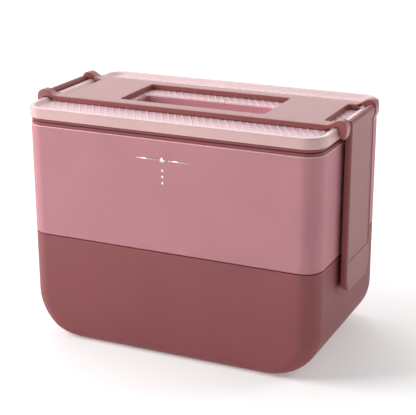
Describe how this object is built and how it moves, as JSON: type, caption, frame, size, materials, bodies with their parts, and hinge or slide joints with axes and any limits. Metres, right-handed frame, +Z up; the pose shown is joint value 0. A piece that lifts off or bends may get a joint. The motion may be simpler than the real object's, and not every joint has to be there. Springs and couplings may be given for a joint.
{
  "type": "two-tier lunch box",
  "caption": "Two-tier bento box with rounded ends, a recessed lid over a cutlery tray, and a windowed handle frame whose swinging clasps hold the tiers together.",
  "frame": {"origin": "centre of the footprint, on the surface the box stands on", "axes": "+X along the length towards the right clasp, -Y towards the front, +Z up"},
  "size_m": [0.1916, 0.1094, 0.1453],
  "materials": {
    "wine_plastic": "satin moulded",
    "rose_plastic": "matte moulded",
    "blush_plastic": "matte moulded",
    "cream_plastic": "smooth moulded",
    "seal_rubber": "soft satin"
  },
  "bodies": {
    "base": {"lower_container": "wine_plastic", "lower_divider": "rose_plastic"},
    "upper": {"upper_container": "rose_plastic", "tier_gasket": "seal_rubber", "upper_divider": "blush_plastic"},
    "inner": {"inner_lid": "wine_plastic", "lid_gasket": "seal_rubber", "spoon": "cream_plastic", "fork": "cream_plastic"},
    "outer": {"outer_lid": "blush_plastic", "finger_well": "rose_plastic"},
    "handle": {"handle_frame": "wine_plastic"},
    "right_clasp": {"clasp_right": "wine_plastic"},
    "left_clasp": {"clasp_left": "wine_plastic"}
  },
  "joints": [
    {"name": "upper_lift", "type": "slide", "parent": "base", "child": "upper", "axis": [0, 0, 1], "range_m": [0, 0.06]},
    {"name": "inner_lid_lift", "type": "slide", "parent": "upper", "child": "inner", "axis": [0, 0, 1], "range_m": [0, 0.05]},
    {"name": "outer_lid_lift", "type": "slide", "parent": "inner", "child": "outer", "axis": [0, 0, 1], "range_m": [0, 0.04]},
    {"name": "handle_lift", "type": "slide", "parent": "outer", "child": "handle", "axis": [0, 0, 1], "range_m": [0, 0.11]},
    {"name": "right_clasp_swing", "type": "hinge", "parent": "handle", "child": "right_clasp", "pos_m": [0.0936, 0, 0.141], "axis": [0, -1, 0], "range_deg": [-0.6, 210]},
    {"name": "left_clasp_swing", "type": "hinge", "parent": "handle", "child": "left_clasp", "pos_m": [-0.0936, 0, 0.141], "axis": [0, 1, 0], "range_deg": [-0.6, 210]}
  ]
}
